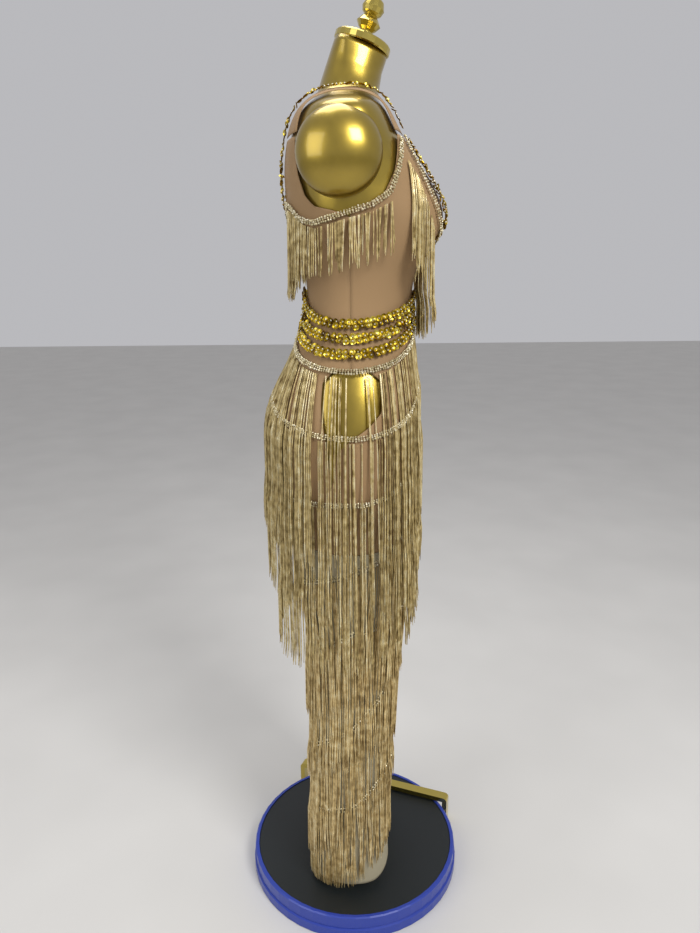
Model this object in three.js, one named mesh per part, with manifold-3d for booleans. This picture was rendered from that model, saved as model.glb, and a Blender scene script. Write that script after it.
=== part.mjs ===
// A fringed jumpsuit of sheer stretch mesh on a limbless dress form with a round base.
// Millimetres, +Z up. The form faces -Y, so the wearer's right side is at -X.
// The origin is the centre of the base's underside.

import * as THREE from "three";
import { mergeVertices } from "three/addons/utils/BufferGeometryUtils.js";
import Module from "manifold-3d";

const wasm = await Module();
wasm.setup();

// ---------------------------------------------------------------- driving dimensions

const GAP = 0.3;                    // left between pieces that touch
const EASE = 4.3;                   // from the form to the inside of the cloth
const CLOTH = 1.2;                  // wall of the mesh cloth
const TRIM_AT = 8.2;                // from the form to the underside of a trim
const TRIM = 2.0;                   // thickness of a trim and of a fringe's solid
const TIER_STEP = 4.0;              // each fringe passes this far outside the tier under it
const HEADER = 10;                  // width of a beaded fringe header
const SEQUIN_ROW = 13;              // width of one row of cup sequins
const ROPE = 6;                     // width of the rope of sequins on the back neckline

const FORM_FOOT = 730;              // height of the form's flat bottom
const LEG_TOP = 720;                // height where the hips divide into two legs
const LEG_SEAM = 1.5;               // gap there, for walls that lean
const CROTCH_HALF = 16;             // from the centre to a leg's inner wall at the top
const STRAP_FOOT = 1350;            // height where the straps meet the bodice
const POLE_RADIUS = 11;
const BASE_TOP = 42;
const BASE_RADIUS = 206;

// Sections of the form: depths ahead of and behind the axis, half width, and how far
// each cup of the bust stands out.
const FORM = [
  { z: 700, front: 82, back: 90, half: 146, bust: 0 },
  { z: 730, front: 86, back: 98, half: 152, bust: 0 },
  { z: 790, front: 96, back: 119, half: 167, bust: 0 },
  { z: 850, front: 102, back: 133, half: 174, bust: 0 },
  { z: 910, front: 105, back: 136, half: 172, bust: 0 },
  { z: 970, front: 106, back: 122, half: 160, bust: 0 },
  { z: 1030, front: 102, back: 92, half: 139, bust: 0 },
  { z: 1080, front: 97, back: 72, half: 123, bust: 0 },
  { z: 1115, front: 96, back: 66, half: 119, bust: 0 },
  { z: 1160, front: 101, back: 68, half: 126, bust: 5 },
  { z: 1205, front: 111, back: 79, half: 138, bust: 26 },
  { z: 1245, front: 116, back: 90, half: 147, bust: 35 },
  { z: 1290, front: 108, back: 97, half: 152, bust: 22 },
  { z: 1330, front: 93, back: 97, half: 159, bust: 6 },
  { z: 1365, front: 76, back: 90, half: 167, bust: 0 },
  { z: 1388, front: 63, back: 80, half: 158, bust: 0 },
  { z: 1404, front: 54, back: 69, half: 118, bust: 0 },
  { z: 1417, front: 48, back: 57, half: 78, bust: 0 },
  { z: 1430, front: 47, back: 49, half: 56, bust: 0 },
];
const SQUARENESS = 2.2;             // exponent of the sections' superellipses
const BUST = { apart: 82, spread: 46 };

// Rings of the neck, which leans forward. z is the ring's middle and lean its rise
// for each millimetre towards the back.
const NECK = [
  { z: 1446, front: 49, back: 42, half: 49, lean: 0.10 },
  { z: 1468, front: 52, back: 32, half: 43, lean: 0.22 },
  { z: 1495, front: 60, back: 20, half: 40, lean: 0.35 },
];

const STUMP = { x: 148, y: 14, z: 1324, rx: 43, ry: 62, rz: 62 };

// Sections of a trouser leg: the middle's distance from the centre plane, half width,
// and depths ahead and behind.
const LEG = [
  { z: 600, x: 88, half: 60, front: 80, back: 74 },
  { z: 500, x: 88, half: 57, front: 72, back: 73 },
  { z: 400, x: 88, half: 55, front: 66, back: 73 },
  { z: 300, x: 89, half: 53, front: 62, back: 74 },
  { z: 180, x: 90, half: 51, front: 60, back: 76 },
  { z: 55, x: 91, half: 51, front: 64, back: 77 },
];
const LEG_BLEND = 190;              // height over which the divided hips become round legs
const HEM = { near: 57, front: 100 };

// Rows of trim round the body: height at the side, and rise to the front and the back.
const WAIST_ROWS = [
  { side: 1083, front: 45, back: 50 },
  { side: 1061, front: 48, back: 44 },
  { side: 1038, front: 52, back: 42 },
];
const HIP_ROWS = [
  { side: 1013, front: 58, back: 42, fringe: 300 },
  { side: 917, front: 70, back: 45, fringe: 300 },
  { side: 814, front: 90, back: -6, fringe: 290 },
];
// Rows of trim round each leg: height at the outside, the front and the back.
const LEG_ROWS = [
  { side: 690, front: 745, back: 640, fringe: 250 },
  { side: 580, front: 603, back: 511, fringe: 250 },
  { side: 395, front: 511, back: 324, fringe: 230 },
  { side: 231, front: 325, back: 200, fringe: 165 },
];
const LEG_ROW_SPAN = [0.04, 0.96];  // part of the leg's outer arc that rows and fringe cover

// Seams and edges of one half of the bodice, as degrees round from the centre front.
const NECKLINE_FRONT = [
  { z: 1190, deg: 0 }, { z: 1214, deg: 12 }, { z: 1234, deg: 21 }, { z: 1255, deg: 28 },
  { z: 1292, deg: 33 }, { z: 1350, deg: 40 },
];
const NECKLINE_BACK = [
  { z: 1235, deg: 180 }, { z: 1260, deg: 168 }, { z: 1290, deg: 157 }, { z: 1350, deg: 142 },
];
const ARMHOLE_FRONT = [
  { z: 1240, deg: 90 }, { z: 1248, deg: 88 }, { z: 1256, deg: 80 }, { z: 1270, deg: 71 },
  { z: 1300, deg: 65 }, { z: 1350, deg: 60 },
];
const ARMHOLE_BACK = [
  { z: 1240, deg: 90 }, { z: 1246, deg: 97 }, { z: 1254, deg: 110 }, { z: 1270, deg: 117 },
  { z: 1300, deg: 122 }, { z: 1350, deg: 124 },
];
// Edges of the opening at the side of each hip, which runs down into a slit.
const OPENING_FRONT = [
  { z: 720, deg: 100 }, { z: 838, deg: 100 }, { z: 895, deg: 97 }, { z: 915, deg: 90 },
  { z: 933, deg: 81 }, { z: 953, deg: 74 }, { z: 998, deg: 72 }, { z: 1020, deg: 82 },
  { z: 1040, deg: 90 },
];
const OPENING_BACK = [
  { z: 720, deg: 100 }, { z: 838, deg: 100 }, { z: 900, deg: 102 }, { z: 930, deg: 104 },
  { z: 965, deg: 106 }, { z: 998, deg: 106 }, { z: 1020, deg: 98 }, { z: 1040, deg: 90 },
];

// Middle of the beaded header that goes down the armhole, under the arm and round the back.
const BODICE_HEADER = [
  { deg: 59, z: 1344 }, { deg: 63, z: 1305 }, { deg: 68, z: 1272 }, { deg: 78, z: 1255 },
  { deg: 90, z: 1246 }, { deg: 101, z: 1238 }, { deg: 111, z: 1233 }, { deg: 122, z: 1240 },
  { deg: 135, z: 1258 }, { deg: 147, z: 1266 }, { deg: 158, z: 1252 }, { deg: 168, z: 1232 },
  { deg: 177, z: 1215 },
];
// Upper and lower edges of the fringes of one half of the bodice.
const BUST_FRINGE = [
  { deg: 2, top: 1143, foot: 1058 }, { deg: 13, top: 1156, foot: 1056 },
  { deg: 24, top: 1176, foot: 1058 }, { deg: 33, top: 1196, foot: 1072 },
  { deg: 42, top: 1236, foot: 1112 }, { deg: 48, top: 1286, foot: 1150 },
  { deg: 55, top: 1314, foot: 1180 },
];
const SIDE_FRINGE = [
  { deg: 66, top: 1257, foot: 1188 }, { deg: 78, top: 1241, foot: 1172 },
  { deg: 90, top: 1233, foot: 1164 }, { deg: 101, top: 1225, foot: 1158 },
  { deg: 111, top: 1220, foot: 1155 }, { deg: 122, top: 1227, foot: 1148 },
  { deg: 135, top: 1245, foot: 1136 }, { deg: 147, top: 1252, foot: 1126 },
  { deg: 158, top: 1238, foot: 1120 }, { deg: 168, top: 1218, foot: 1118 },
  { deg: 177, top: 1201, foot: 1118 },
];

// ---------------------------------------------------------------- materials

const finish = (color, roughness, metalness) =>
  new THREE.MeshStandardMaterial({ color, roughness, metalness });
const GOLD_FORM = finish(0xa89038, 0.35, 0.6);
const GOLD_METAL = finish(0xc2a64a, 0.2, 0.9);
const MESH_CLOTH = finish(0xa88f66, 0.8, 0.0);
const CUP_SEQUINS = finish(0xb79a2a, 0.3, 0.8);
const BEADS = finish(0xcfc79f, 0.3, 0.4);
const FRINGE = finish(0xbfae7c, 0.5, 0.2);
const BLACK = finish(0x14181a, 0.4, 0.0);
const BLUE = finish(0x25409a, 0.4, 0.0);

const part = new THREE.Group();

function put(name, geometry, material) {
  const mesh = new THREE.Mesh(geometry, material);
  mesh.name = name;
  part.add(mesh);
}

// ---------------------------------------------------------------- tables and small maths

const clamp = (value, low, high) => Math.min(high, Math.max(low, value));
const ease = (t) => clamp(t, 0, 1) ** 2 * (3 - 2 * clamp(t, 0, 1));
const mix = (a, b, t) => a + (b - a) * t;
const rad = THREE.MathUtils.degToRad;
const range = (count) => Array.from({ length: count }, (_, i) => i);

// Smooth value of one column of a table at a place on its key column.
function read(table, column, at, key = "z") {
  const rows = table[0][key] < table.at(-1)[key] ? table : [...table].reverse();
  const x = clamp(at, rows[0][key], rows.at(-1)[key]);
  let i = 0;
  while (i < rows.length - 2 && x > rows[i + 1][key]) i += 1;
  const slope = (j) => {
    const low = rows[Math.max(j - 1, 0)];
    const high = rows[Math.min(j + 1, rows.length - 1)];
    return (high[column] - low[column]) / (high[key] - low[key]);
  };
  const span = rows[i + 1][key] - rows[i][key];
  const t = (x - rows[i][key]) / span;
  const [a, b] = [rows[i][column], rows[i + 1][column]];
  const [ma, mb] = [slope(i) * span, slope(i + 1) * span];
  const [t2, t3] = [t * t, t * t * t];
  return a * (2 * t3 - 3 * t2 + 1) + ma * (t3 - 2 * t2 + t) + b * (3 * t2 - 2 * t3) + mb * (t3 - t2);
}

// Straight-line value of one column, for seams and edges.
function edge(table, column, at, key = "z") {
  const rows = table[0][key] < table.at(-1)[key] ? table : [...table].reverse();
  const x = clamp(at, rows[0][key], rows.at(-1)[key]);
  let i = 0;
  while (i < rows.length - 2 && x > rows[i + 1][key]) i += 1;
  const t = (x - rows[i][key]) / (rows[i + 1][key] - rows[i][key]);
  return mix(rows[i][column], rows[i + 1][column], t);
}

// ---------------------------------------------------------------- the form's surface

// Under 1 inside the form's section at height z, over 1 outside it.
function insideForm(x, y, z) {
  const half = read(FORM, "half", z);
  const cup = y < 0 ? read(FORM, "bust", z) * Math.exp(-(((Math.abs(x) - BUST.apart) / BUST.spread) ** 2)) : 0;
  const depth = y < 0 ? read(FORM, "front", z) : read(FORM, "back", z);
  return (Math.abs(x) / half) ** SQUARENESS + (Math.max(0, Math.abs(y) - cup) / depth) ** SQUARENESS;
}

// Distance along a ray from a point inside the form to its surface.
function reach(start, way) {
  let [near, far] = [0, 260];
  for (let i = 0; i < 26; i += 1) {
    const middle = (near + far) / 2;
    const p = way.clone().multiplyScalar(middle).add(start);
    if (insideForm(p.x, p.y, p.z) < 1) near = middle;
    else far = middle;
  }
  return near;
}

// Bearing 0 is the centre front, 90 the wearer's right side and 180 the centre back.
const bearing = (deg) => new THREE.Vector3(-Math.sin(rad(deg)), -Math.cos(rad(deg)), 0);
const radiusAt = (deg, z) => reach(new THREE.Vector3(0, 0, z), bearing(deg));

function formNormal(p) {
  const h = 0.5;
  const f = (dx, dy, dz) => insideForm(p.x + dx, p.y + dy, p.z + dz);
  return new THREE.Vector3(f(h, 0, 0) - f(-h, 0, 0), f(0, h, 0) - f(0, -h, 0), f(0, 0, h) - f(0, 0, -h)).normalize();
}

// Point on the form at a bearing and height, moved out along the surface normal.
function skin(deg, z, out) {
  const p = bearing(deg).multiplyScalar(radiusAt(deg, z)).setZ(z);
  return p.addScaledVector(formNormal(p), out);
}

// Point on the shoulder at a distance x to the side, turn 0 at the front and 180 at the back.
function shoulder(x, turn, out) {
  const start = new THREE.Vector3(-x, 8, STRAP_FOOT + 2);
  const way = new THREE.Vector3(0, -Math.cos(rad(turn)), Math.sin(rad(turn)));
  const p = way.clone().multiplyScalar(reach(start, way)).add(start);
  return p.addScaledVector(formNormal(p), out);
}

// ---------------------------------------------------------------- solids from grids of points

// Closed wall between two grids of points, each a list of rows. A ring's rows close round.
function wall(inner, outer, ring = false) {
  const rows = inner.length;
  const cols = inner[0].length;
  const points = [...outer.flat(), ...inner.flat()];
  const at = (side, r, c) => side * rows * cols + r * cols + (c % cols);
  const index = [];
  const quad = (a, b, c, d) => index.push(a, b, c, a, c, d);
  const spans = ring ? cols : cols - 1;
  for (let r = 0; r < rows - 1; r += 1) {
    for (let c = 0; c < spans; c += 1) {
      quad(at(0, r, c), at(0, r, c + 1), at(0, r + 1, c + 1), at(0, r + 1, c));
      quad(at(1, r, c), at(1, r + 1, c), at(1, r + 1, c + 1), at(1, r, c + 1));
    }
  }
  for (let c = 0; c < spans; c += 1) {
    quad(at(0, 0, c), at(1, 0, c), at(1, 0, c + 1), at(0, 0, c + 1));
    quad(at(0, rows - 1, c), at(0, rows - 1, c + 1), at(1, rows - 1, c + 1), at(1, rows - 1, c));
  }
  if (!ring) {
    for (let r = 0; r < rows - 1; r += 1) {
      quad(at(0, r, 0), at(0, r + 1, 0), at(1, r + 1, 0), at(1, r, 0));
      quad(at(0, r, spans), at(1, r, spans), at(1, r + 1, spans), at(0, r + 1, spans));
    }
  }
  return facing(points, index);
}

// Closed loft through rings of points, with a flat lid at each end.
function loft(rings) {
  const cols = rings[0].length;
  const points = rings.flat();
  const index = [];
  for (let r = 0; r < rings.length - 1; r += 1) {
    for (let c = 0; c < cols; c += 1) {
      const [a, b] = [r * cols + c, r * cols + ((c + 1) % cols)];
      index.push(a, b, b + cols, a, b + cols, a + cols);
    }
  }
  for (const [ring, flip] of [[0, true], [rings.length - 1, false]]) {
    const middle = points.length;
    points.push(rings[ring].reduce((sum, p) => sum.add(p), new THREE.Vector3()).divideScalar(cols));
    for (let c = 0; c < cols; c += 1) {
      const pair = [ring * cols + c, ring * cols + ((c + 1) % cols)];
      index.push(middle, ...(flip ? pair.reverse() : pair));
    }
  }
  return facing(points, index);
}

// Geometry of points and triangles, with the triangles turned to face outwards.
function facing(points, index) {
  let volume = 0;
  for (let i = 0; i < index.length; i += 3) {
    const [a, b, c] = [points[index[i]], points[index[i + 1]], points[index[i + 2]]];
    volume += a.dot(b.clone().cross(c));
  }
  const turned = volume > 0 ? index : [...index].reverse();
  const geometry = new THREE.BufferGeometry();
  geometry.setAttribute("position", new THREE.Float32BufferAttribute(points.flatMap((p) => [p.x, p.y, p.z]), 3));
  geometry.setIndex(turned);
  return geometry;
}

// The wearer's left copy of a right-hand geometry.
function mirrored(geometry) {
  const copy = geometry.clone();
  copy.scale(-1, 1, 1);
  copy.setIndex([...copy.index.array].reverse());
  return copy;
}

function putPair(name, geometry, material) {
  put(`${name}_right`, geometry, material);
  put(`${name}_left`, mirrored(geometry), material);
}

// Flat band of a given width laid along a line of points with normals, its underside
// `low` and its face `low + thick` above them.
function band(line, width, low, thick = TRIM) {
  const side = line.map(({ p, n }, i) => {
    const ahead = line[Math.min(i + 1, line.length - 1)].p;
    const behind = line[Math.max(i - 1, 0)].p;
    return n.clone().cross(ahead.clone().sub(behind)).normalize();
  });
  const grid = (out) => line.map(({ p, n }, i) =>
    [-0.5, 0.5].map((s) => p.clone().addScaledVector(n, out).addScaledVector(side[i], s * width)));
  return wall(grid(low), grid(low + thick));
}

// A point of the form's surface at a bearing and height, with its normal.
function spot(deg, z) {
  const p = skin(deg, z, 0);
  return { p, n: formNormal(p) };
}

// A line of points moved sideways over the form, away from the centre where `by` is positive.
function shifted(line, by) {
  return line.map(({ p, n }, i) => {
    const ahead = line[Math.min(i + 1, line.length - 1)].p;
    const behind = line[Math.max(i - 1, 0)].p;
    const side = n.clone().cross(ahead.clone().sub(behind)).normalize();
    const moved = p.clone().addScaledVector(side, by);
    return spot(THREE.MathUtils.radToDeg(Math.atan2(-moved.x, -moved.y)), moved.z);
  });
}

// ---------------------------------------------------------------- the dress form

function formRing(row, count) {
  return range(count).map((i) => {
    const a = (2 * Math.PI * i) / count;
    const [s, c] = [Math.sin(a), Math.cos(a)];
    const power = 2 / SQUARENESS;
    const x = -row.half * Math.sign(s) * Math.abs(s) ** power;
    const y = -(c > 0 ? row.front : row.back) * Math.sign(c) * Math.abs(c) ** power;
    return new THREE.Vector3(x, y, row.z + (row.lean ?? 0) * (y + (row.front - row.back) / 2));
  });
}

const toManifold = (geometry) => {
  const bare = geometry.clone();
  bare.deleteAttribute("normal");
  bare.deleteAttribute("uv");
  const merged = mergeVertices(bare, 1e-3);
  const vertProperties = new Float32Array(merged.attributes.position.array);
  const triVerts = new Uint32Array(merged.index.array);
  return new wasm.Manifold(new wasm.Mesh({ numProp: 3, vertProperties, triVerts }));
};

function fromManifold(solid) {
  const { vertProperties, triVerts } = solid.getMesh();
  const geometry = new THREE.BufferGeometry();
  geometry.setAttribute("position", new THREE.Float32BufferAttribute(vertProperties, 3));
  geometry.setIndex([...triVerts]);
  return geometry;
}

function makeForm() {
  const columns = 32;
  const heights = [730, 775, 830, 885, 940, 990, 1040, 1090, 1135, 1175, 1210, 1245, 1280, 1315, 1345, 1368,
    1386, 1400, 1412, 1430];
  const trunk = heights.map((z) => range(columns).map((i) => skin((360 * i) / columns, z, 0)));
  const neck = NECK.map((row) => formRing(row, columns));
  let body = toManifold(loft([...trunk, ...neck]));
  for (const side of [-1, 1]) {
    const stump = new THREE.SphereGeometry(1, 20, 12);
    stump.scale(STUMP.rx, STUMP.ry, STUMP.rz);
    stump.translate(side * STUMP.x, STUMP.y, STUMP.z);
    body = body.add(toManifold(stump));
  }
  put("form_torso", fromManifold(body), GOLD_FORM);
}

// The cap and finial stand on the neck's leaning top.
function makeNeckCap() {
  const top = NECK.at(-1);
  const middle = new THREE.Vector3(0, (top.back - top.front) / 2, top.z);
  const lean = Math.atan(top.lean);
  const profile = [[0, GAP], [43, GAP], [44.5, 2], [44.5, 10], [43, 12], [0, 12]];
  const finial = [[0, 12 + GAP], [13, 12 + GAP], [13, 16], [9, 19], [9, 24], [14, 28], [19, 35], [13, 43],
    [10, 46], [15, 50], [17.5, 57], [14, 67], [7, 73], [0, 75]];
  for (const [name, outline, sides] of [["neck_cap", profile, 28], ["finial", finial, 16]]) {
    const points = outline.map(([r, h]) => new THREE.Vector2(r, h));
    const geometry = new THREE.LatheGeometry(points, sides);
    geometry.rotateX(Math.PI / 2 + lean);
    geometry.translate(middle.x, middle.y, middle.z);
    put(name, geometry, GOLD_METAL);
  }
}

// ---------------------------------------------------------------- the stand

function turned(outline, sides) {
  const geometry = new THREE.LatheGeometry(outline.map(([r, h]) => new THREE.Vector2(r, h)), sides);
  geometry.rotateX(Math.PI / 2);
  return geometry;
}

const DISC_RADIUS = 196;
const FLANGE = { radius: 45, height: 8 };
// The floor bar lies across the back of the base, and its ends turn down past the rim.
const BAR = {
  from: new THREE.Vector2(87, -204), to: new THREE.Vector2(210, 122),
  width: 20, thick: 10, under: 46, bend: 9,
};

function makeStand() {
  const r = DISC_RADIUS;
  put("base_disc", turned([[0, 0], [r, 0], [r, BASE_TOP - 1], [r - 1, BASE_TOP], [0, BASE_TOP]], 48), BLACK);
  const inside = r + GAP;
  const [groove, upper] = [19, BASE_RADIUS - 2.5];
  put("base_rim", turned([[inside, 0.5], [BASE_RADIUS, 0.5], [BASE_RADIUS, groove - 2], [upper - 1.5, groove],
    [upper, groove + 2], [upper, BASE_TOP - 0.5], [upper - 2, BASE_TOP + 1.5], [inside, BASE_TOP + 1.5],
    [inside, 0.5]], 48), BLUE);

  const flangeTop = BASE_TOP + GAP + FLANGE.height;
  put("pole", turned([[0, BASE_TOP + GAP], [FLANGE.radius, BASE_TOP + GAP],
    [FLANGE.radius, flangeTop - 3], [FLANGE.radius - 3, flangeTop], [POLE_RADIUS, flangeTop],
    [POLE_RADIUS, FORM_FOOT - GAP], [0, FORM_FOOT - GAP]], 20), GOLD_METAL);

  const length = BAR.to.distanceTo(BAR.from);
  const way = BAR.to.clone().sub(BAR.from).divideScalar(length);
  const [low, high] = [BAR.under, BAR.under + BAR.thick];
  const outline = new THREE.Shape();
  outline.moveTo(0, 0);
  outline.lineTo(0, high - BAR.bend);
  outline.absarc(BAR.bend, high - BAR.bend, BAR.bend, Math.PI, Math.PI / 2, true);
  outline.lineTo(length - BAR.bend, high);
  outline.absarc(length - BAR.bend, high - BAR.bend, BAR.bend, Math.PI / 2, 0, true);
  outline.lineTo(length, 0);
  outline.lineTo(length - BAR.thick, 0);
  outline.lineTo(length - BAR.thick, low);
  outline.lineTo(BAR.thick, low);
  outline.lineTo(BAR.thick, 0);
  const bar = new THREE.ExtrudeGeometry(outline, { depth: BAR.width, bevelEnabled: false, curveSegments: 5 });
  bar.translate(0, 0, -BAR.width / 2);
  bar.rotateX(Math.PI / 2);
  bar.rotateZ(Math.atan2(way.y, way.x));
  bar.translate(BAR.from.x, BAR.from.y, 0);
  put("floor_bar", bar, GOLD_METAL);

  const nearest = BAR.from.clone().addScaledVector(way, -BAR.from.dot(way));
  const [start, end] = [FLANGE.radius + 2 * GAP, nearest.length() - BAR.width / 2 - GAP];
  const stay = new THREE.BoxGeometry(end - start, 18, 6);
  stay.translate((start + end) / 2, 0, BAR.under + 4);
  stay.rotateZ(Math.atan2(nearest.y, nearest.x));
  put("bar_stay", stay, GOLD_METAL);
}

// ---------------------------------------------------------------- the jumpsuit's cloth

// Height of a row of trim round the body at a bearing.
function rowHeight(row, deg) {
  const c = Math.cos(rad(deg));
  return row.side + (c > 0 ? row.front : row.back) * c * c;
}

const waistSeam = (deg) => rowHeight(HIP_ROWS[0], deg);

// Panel between two edges given as bearings by height, its foot and top lines given by bearing.
function panel(left, right, foot, top, rows, cols) {
  const grid = (out) => rows.map((t) => range(cols + 1).map((c) => {
    const s = c / cols;
    const level = (deg) => mix(foot(deg), top(deg), t);
    let deg = mix(left(level(90)), right(level(90)), s);
    deg = mix(left(level(deg)), right(level(deg)), s);
    return skin(deg, level(deg), out);
  }));
  return wall(grid(EASE), grid(EASE + CLOTH));
}

const SEAM = 0.25;                  // degrees that a panel stops short of a seam

function makeBodice() {
  const foot = (deg) => waistSeam(deg) + 2 * GAP;
  const top = () => STRAP_FOOT;
  const front = panel(
    (z) => edge(NECKLINE_FRONT, "deg", z) + SEAM, (z) => edge(ARMHOLE_FRONT, "deg", z) - SEAM,
    foot, top, [0, 0.13, 0.26, 0.38, 0.47, 0.54, 0.6, 0.66, 0.72, 0.79, 0.88, 1], 8);
  putPair("bodice_front", front, MESH_CLOTH);
  const back = panel(
    (z) => edge(ARMHOLE_BACK, "deg", z) + SEAM, (z) => edge(NECKLINE_BACK, "deg", z) - SEAM,
    foot, top, [0, 0.13, 0.26, 0.38, 0.5, 0.6, 0.66, 0.677, 0.69, 0.71, 0.77, 0.86, 1], 7);
  putPair("bodice_back", back, MESH_CLOTH);
}

// Inner and outer edges of a shoulder strap, narrowest at the top of the shoulder.
const strapEdges = (turn) => {
  const front = Math.cos(rad(turn)) > 0;
  const away = Math.abs(Math.cos(rad(turn)));
  return [mix(76, front ? 66 : 58, away), mix(108, 116, away)];
};

function makeStraps() {
  const turns = range(9).map((i) => 3 + 21.75 * i);
  const grid = (out) => turns.map((turn) => range(3).map((c) => {
    const [inner, outer] = strapEdges(turn);
    return shoulder(mix(inner, outer, c / 2), turn, out);
  }));
  putPair("shoulder_strap", wall(grid(EASE), grid(EASE + CLOTH)), MESH_CLOTH);
}

function makeHips() {
  const foot = () => LEG_TOP + LEG_SEAM;
  const top = (deg) => waistSeam(deg) - GAP;
  const rows = [0, 0.13, 0.26, 0.39, 0.51, 0.61, 0.67, 0.72, 0.79, 0.93, 1];
  const frontEdge = (z) => edge(OPENING_FRONT, "deg", z) - SEAM;
  const backEdge = (z) => edge(OPENING_BACK, "deg", z) + SEAM;
  put("hip_front", panel((z) => -frontEdge(z), frontEdge, foot, top, rows, 18), MESH_CLOTH);
  put("hip_back", panel(backEdge, (z) => 360 - backEdge(z), foot, top, rows, 13), MESH_CLOTH);
}

// ---------------------------------------------------------------- the legs

// Point on the right leg's inside. From 0 to 1, u goes round the outer side from the inner
// front to the inner back, and from 1 to 2 it comes back along the inner side.
function legInside(u, z) {
  const level = Math.max(z, LEG_TOP);
  const corner = THREE.MathUtils.radToDeg(Math.asin(CROTCH_HALF / read(FORM, "front", level)));
  const outer = (t) => skin(mix(corner, 180 - corner, t), level, EASE);
  const split = u <= 1 ? outer(u) : outer(1).lerp(outer(0), u - 1);
  if (u > 1) split.x = -CROTCH_HALF;
  const a = rad(u <= 1 ? mix(-30, 210, u) : mix(210, 330, u - 1));
  const row = (column) => read(LEG, column, z);
  const depth = Math.cos(a) > 0 ? row("front") : row("back");
  const round = new THREE.Vector3(-row("x") - row("half") * Math.sin(a), -depth * Math.cos(a), 0);
  return split.lerp(round, ease((LEG_TOP - z) / LEG_BLEND)).setZ(z);
}

// The same point moved out along the cloth's normal.
function legSkin(u, z, out) {
  const [low, high] = u <= 1 ? [Math.max(u - 0.02, 0), Math.min(u + 0.02, 1)] : [u - 0.02, u + 0.02];
  const round = legInside(high, z).sub(legInside(low, z));
  const up = legInside(u, z + 4).sub(legInside(u, z - 4));
  const normal = round.cross(up).normalize();
  return legInside(u, z).addScaledVector(normal, -out);
}

// The hem hangs lower at the outside and the back than at the front.
const hemHeight = (u) => mix(HEM.front, HEM.near, ease((u > 1 ? 2 - u : u) / 0.38));

function makeLegs() {
  const spots = [...range(13).map((i) => i / 12.5), ...range(6).map((i) => 1.02 + i * 0.16)];
  const levels = [0, 0.16, 0.32, 0.47, 0.6, 0.71, 0.81, 0.91, 1];
  const grid = (out) => levels.map((t) =>
    spots.map((u) => legSkin(u, mix(hemHeight(u), LEG_TOP, t), out)));
  putPair("leg", wall(grid(0), grid(CLOTH), true), MESH_CLOTH);

  // The crotch is unfastened round the pole.
  const half = CROTCH_HALF - CLOTH - 1;
  const outline = new THREE.Shape();
  outline.moveTo(-half, -79);
  outline.lineTo(half, -79);
  outline.lineTo(half, 88);
  outline.lineTo(-half, 88);
  outline.holes.push(new THREE.Path().absarc(0, 0, POLE_RADIUS + 1.4, 0, 2 * Math.PI, true));
  const gusset = new THREE.ExtrudeGeometry(outline, { depth: CLOTH, bevelEnabled: false, curveSegments: 12 });
  gusset.translate(0, 0, LEG_TOP - 6);
  put("crotch_gusset", gusset, MESH_CLOTH);
}

// ---------------------------------------------------------------- trims

const ROUND = range(32).map((i) => (360 * i) / 32);

// Closed band round the body along a row.
function ringBand(row, width) {
  const grid = (out) => [-0.5, 0.5].map((s) => ROUND.map((deg) =>
    skin(deg, rowHeight(row, deg) + s * width, out)));
  return wall(grid(TRIM_AT), grid(TRIM_AT + TRIM), true);
}

// Height of a leg's row at u, from the front over the outside to the back.
function legRowHeight(row, u) {
  const c = Math.cos(Math.PI * u);
  return c > 0 ? mix(row.side, row.front, c) : mix(row.side, row.back, -c);
}

const legSpots = range(10).map((i) => mix(LEG_ROW_SPAN[0], LEG_ROW_SPAN[1], i / 9));
const LEG_TRIM_AT = TRIM_AT - EASE + 1.5;

function makeTrims() {
  WAIST_ROWS.forEach((row, i) => put(`waist_sequins_${i + 1}`, ringBand(row, SEQUIN_ROW), CUP_SEQUINS));
  HIP_ROWS.forEach((row, i) => put(`hip_header_${i + 1}`, ringBand(row, HEADER), BEADS));
  LEG_ROWS.forEach((row, i) => {
    const grid = (out) => [-0.5, 0.5].map((s) =>
      legSpots.map((u) => legSkin(u, legRowHeight(row, u) + s * HEADER, out)));
    putPair(`leg_header_${i + 1}`, wall(grid(LEG_TRIM_AT), grid(LEG_TRIM_AT + TRIM)), BEADS);
  });
}

// Line up a neckline's edge, on the form's own surface.
const necklineLine = (table, heights) => heights.map((z) => spot(edge(table, "deg", z), z));

function makeNecklineTrims() {
  const up = [1194, 1206, 1218, 1232, 1246, 1262, 1280, 1300, 1322, 1345];
  const front = necklineLine(NECKLINE_FRONT, up);
  putPair("neckline_sequins", band(shifted(front, SEQUIN_ROW + 1), 2 * SEQUIN_ROW, TRIM_AT), CUP_SEQUINS);
  putPair("neckline_header", band(shifted(front.slice(1), 2 * SEQUIN_ROW + 9), HEADER - 1, TRIM_AT), BEADS);

  const over = range(9).map((i) => {
    const turn = 8 + 20.5 * i;
    const p = shoulder(strapEdges(turn)[0] + ROPE / 2 + 1, turn, 0);
    return { p, n: formNormal(p) };
  });
  const down = [1335, 1318, 1302, 1285, 1268, 1252, 1240];
  const back = shifted(necklineLine(NECKLINE_BACK, down), ROPE / 2 + 1);
  putPair("rope_sequins", band([...over, ...back], ROPE, TRIM_AT), CUP_SEQUINS);

  const header = BODICE_HEADER.map(({ deg, z }) => spot(deg, z));
  putPair("bodice_header", band(header, HEADER, TRIM_AT), BEADS);
}

// ---------------------------------------------------------------- fringes

const UNDER_HEADER = HEADER / 2 + 4; // from a row's middle down to its fringe's top
const OVER_ROW = 15;                // a fringe is clear of a lower row this far above and below it

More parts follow.
